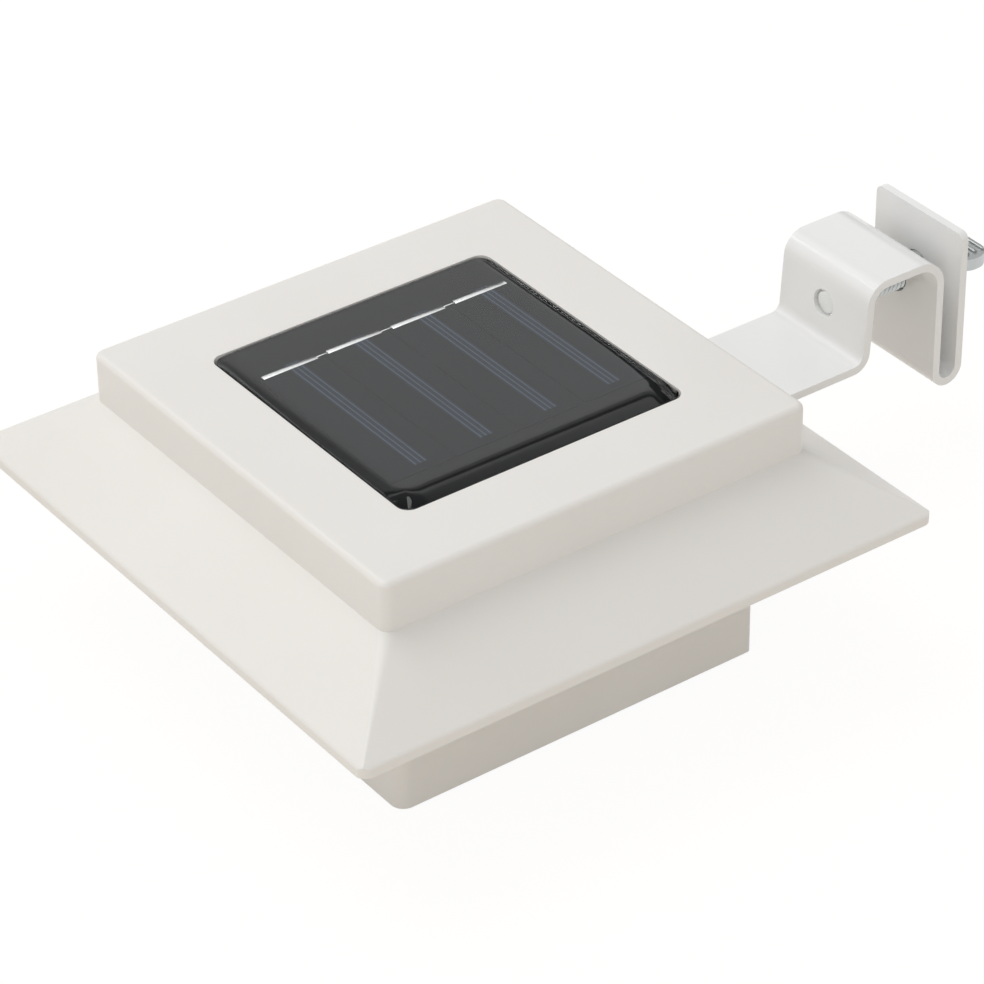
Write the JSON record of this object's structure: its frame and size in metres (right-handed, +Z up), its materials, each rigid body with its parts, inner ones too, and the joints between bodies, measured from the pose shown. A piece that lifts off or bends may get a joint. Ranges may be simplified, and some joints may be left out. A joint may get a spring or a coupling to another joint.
{
  "type": "solar fence light",
  "caption": "Square solar light with a panel in its stepped top, a lens underneath and a bent steel strap that hooks over a rail and is held by a thumb screw.",
  "frame": {"origin": "centre of the lamp's flat underside, on the lamp's axis", "axes": "+Z up through the panel, +Y towards the strap and its thumb screw, -Y the front, +X to the right as seen from the front"},
  "size_m": [0.12, 0.1809, 0.053],
  "materials": {
    "shell": "satin white moulding",
    "adhesive": "soft adhesive bead",
    "circuit_board": "satin green board",
    "silicon": "dark polished cells",
    "tinned_metal": "bright tinned",
    "panel_resin": "clear glossy resin",
    "zinc": "satin zinc plate",
    "clear_plastic": "clear glossy",
    "reflector": "bright metallised",
    "white_board": "satin white board",
    "lamp_resin": "clear glossy resin",
    "black_plastic": "satin black",
    "battery": "glossy plain sleeve over a metal can",
    "lead_sleeve": "satin flexible sleeve",
    "coated_steel": "satin white powder coat"
  },
  "bodies": {
    "lamp": {"top_housing": "shell", "lower_housing": "shell", "bottom_cover": "shell", "panel_bead": "adhesive", "panel_board": "circuit_board", "solar_cells": "silicon", "cell_ribbon": "tinned_metal", "panel_resin": "panel_resin", "housing_screws": "zinc", "cover_screws": "zinc", "led_board_screws": "zinc", "bracket_screws": "zinc", "lens": "clear_plastic", "reflector": "reflector", "led_board": "white_board", "leds": "lamp_resin", "switch_body": "black_plastic", "battery_holder": "black_plastic", "battery": "battery", "battery_spring": "tinned_metal", "battery_contacts": "tinned_metal", "control_board": "circuit_board", "control_parts": "black_plastic", "panel_leads": "lead_sleeve", "battery_leads": "lead_sleeve", "led_leads": "lead_sleeve", "switch_leads": "lead_sleeve", "bracket_strap": "coated_steel"},
    "pressure_cap": {"screw_cap": "zinc"},
    "thumb_screw": {"screw_stud": "zinc", "screw_grip": "zinc"},
    "switch_slider": {"switch_knob": "black_plastic"}
  },
  "joints": [
    {"name": "screw_travel", "type": "slide", "parent": "lamp", "child": "pressure_cap", "axis": [0, 1, 0], "range_m": [-0.001, 0.015]},
    {"name": "screw_turn", "type": "hinge", "parent": "pressure_cap", "child": "thumb_screw", "pos_m": [0, 0.1, 0.0358], "axis": [0, 1, 0], "range_deg": [-360, 5400]},
    {"name": "switch_slide", "type": "slide", "parent": "lamp", "child": "switch_slider", "axis": [1, 0, 0], "range_m": [0, 0.003]}
  ],
  "couplings": [
    {"joint": "screw_turn", "follows": "screw_travel", "rad_per_m": 6283.1}
  ]
}
